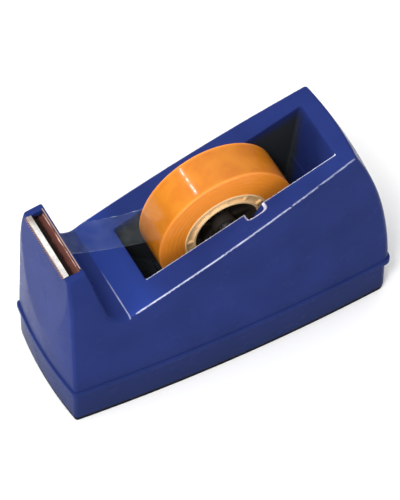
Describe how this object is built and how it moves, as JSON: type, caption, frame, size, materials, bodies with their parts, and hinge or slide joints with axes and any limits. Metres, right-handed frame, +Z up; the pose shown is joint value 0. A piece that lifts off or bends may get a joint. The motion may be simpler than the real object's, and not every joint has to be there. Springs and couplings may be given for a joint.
{
  "type": "tape dispenser",
  "caption": "Weighted desk tape dispenser: bowed blue casing on a base tray, serrated cutter on the nose, and a tape spool spinning on a spindle that lifts out of slanted grooves.",
  "frame": {"origin": "centre of the footprint, on the surface the dispenser stands on", "axes": "+X from the cutter at the nose to the tail, +Y across, +Z up"},
  "size_m": [0.1542, 0.0588, 0.0949],
  "materials": {
    "blue_plastic": "semi-gloss moulded",
    "black_foam": "matt closed-cell foam",
    "zinc_screws": "zinc plated",
    "ballast_iron": "rough cast",
    "tinted_steel": "darkened and reflective",
    "polished_steel": "polished",
    "clear_film": "clear film",
    "spindle_steel": "turned",
    "black_plastic": "semi-gloss moulded",
    "cream_plastic": "satin moulded",
    "amber_tape": "glossy wound film"
  },
  "bodies": {
    "housing": {"upper_casing": "blue_plastic", "base_tray": "blue_plastic", "foot_pad": "black_foam", "casing_screws": "zinc_screws", "ballast_floor_plate": "ballast_iron", "ballast_nose_block": "ballast_iron", "ballast_tail_block": "ballast_iron", "ballast_foam_pads": "black_foam", "ballast_screws": "zinc_screws", "blade_channel": "tinted_steel", "cutting_blade": "polished_steel", "blade_screws": "zinc_screws", "tape_leader": "clear_film"},
    "spindle": {"axle_pin": "spindle_steel", "axle_cap_near": "black_plastic", "axle_cap_far": "black_plastic", "thrust_washers": "spindle_steel"},
    "spool": {"hub_near_half": "black_plastic", "hub_far_half": "black_plastic", "tape_core": "cream_plastic", "tape_winding": "amber_tape"}
  },
  "joints": [
    {"name": "spindle_lift", "type": "slide", "parent": "housing", "child": "spindle", "axis": [0.515, 0, 0.8572], "range_m": [0, 0.022]},
    {"name": "spool_spin", "type": "hinge", "parent": "spindle", "child": "spool", "pos_m": [0.0047, 0, 0.0638], "axis": [0, 1, 0], "continuous": true}
  ]
}
